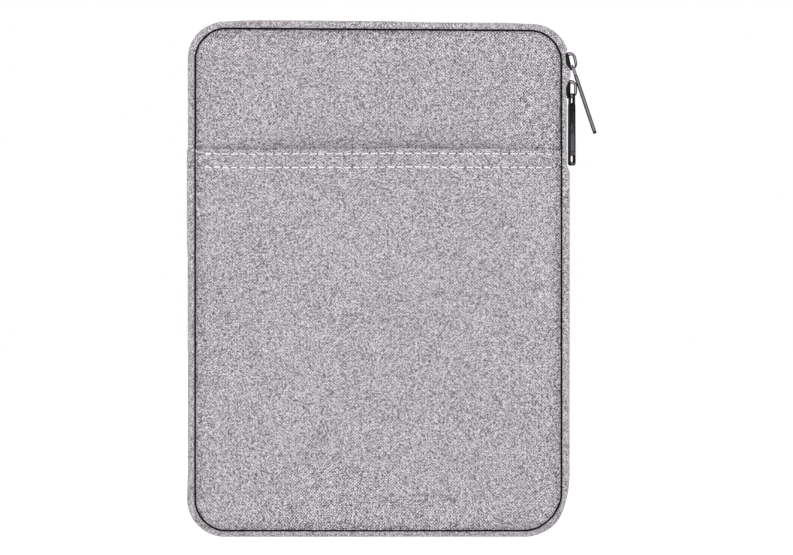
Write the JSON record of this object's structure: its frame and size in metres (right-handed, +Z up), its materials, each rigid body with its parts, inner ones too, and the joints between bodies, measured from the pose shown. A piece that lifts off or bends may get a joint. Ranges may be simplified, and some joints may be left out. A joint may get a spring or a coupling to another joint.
{
  "type": "tablet case",
  "caption": "Upright padded tablet case in woven grey fabric, with a two-way zip round three sides, a fold-down front and a slip pocket with a stitched hem.",
  "frame": {"origin": "middle of the flat bottom edge, halfway through the case's depth (pocket not counted)", "axes": "+Z up along the case's height, front with the pocket towards -Y, zip sliders on the +X side"},
  "size_m": [0.2164, 0.0287, 0.2719],
  "materials": {
    "melange": "woven melange canvas, mottled light and dark grey",
    "foam": "soft closed-cell foam sheet",
    "plush": "short brushed pile",
    "binding": "ribbed woven tape",
    "seam_thread": "dark twisted cord",
    "white_thread": "twisted thread",
    "zip_tape": "herringbone woven tape",
    "zip_coil": "satin monofilament coil",
    "gunmetal": "dark polished plating"
  },
  "bodies": {
    "case_body": {"back_cover_panel": "melange", "back_padding": "foam", "back_lining": "plush", "back_edge_band": "melange", "back_seam_cord": "seam_thread", "back_inner_binding": "binding", "front_cover_panel_lower": "melange", "front_padding_lower": "foam", "front_lining_lower": "plush", "front_edge_band_lower": "melange", "front_seam_cord_lower": "seam_thread", "front_inner_binding_lower": "binding", "pocket_panel_lower": "melange", "pocket_edge_wrap_lower": "melange", "bottom_gusset": "melange", "gusset_lining": "plush", "zip_end_tab_left": "melange", "zip_end_tab_right": "melange", "zipper_tape_back": "zip_tape", "zipper_coil_back": "zip_coil"},
    "front_flap": {"front_cover_panel_upper": "melange", "front_padding_upper": "foam", "front_lining_upper": "plush", "front_edge_band_upper": "melange", "front_seam_cord_upper": "seam_thread", "front_inner_binding_upper": "binding", "pocket_panel_upper": "melange", "pocket_edge_wrap_upper": "melange", "pocket_hem": "melange", "hem_stitches_upper": "white_thread", "hem_stitches_lower": "white_thread", "zipper_tape_front": "zip_tape", "zipper_coil_front": "zip_coil"},
    "slider_upper": {"slider_upper_body": "gunmetal", "slider_upper_bridge": "gunmetal"},
    "slider_lower": {"slider_lower_body": "gunmetal", "slider_lower_bridge": "gunmetal"},
    "pull_upper": {"pull_upper": "gunmetal"},
    "pull_lower": {"pull_lower": "gunmetal"}
  },
  "joints": [
    {"name": "flap_fold", "type": "hinge", "parent": "case_body", "child": "front_flap", "pos_m": [0, -0.0149, 0.11], "axis": [1, 0, 0], "range_deg": [0, 60], "deforming": ["zipper_tape_front", "zipper_coil_front"]},
    {"name": "upper_slider_travel", "type": "hinge", "parent": "case_body", "child": "slider_upper", "pos_m": [0.0764, 0, 0.24577], "axis": [0, -1, 0], "range_deg": [0, 64]},
    {"name": "lower_slider_travel", "type": "slide", "parent": "case_body", "child": "slider_lower", "axis": [0, 0, -1], "range_m": [0, 0.116]},
    {"name": "upper_pull_swing", "type": "hinge", "parent": "slider_upper", "child": "pull_upper", "pos_m": [0.10262, 0, 0.24877], "axis": [0, -1, 0], "range_deg": [0, 110]},
    {"name": "lower_pull_swing", "type": "hinge", "parent": "slider_lower", "child": "pull_lower", "pos_m": [0.10225, 0, 0.2338], "axis": [0, -1, 0], "range_deg": [0, 16]}
  ]
}
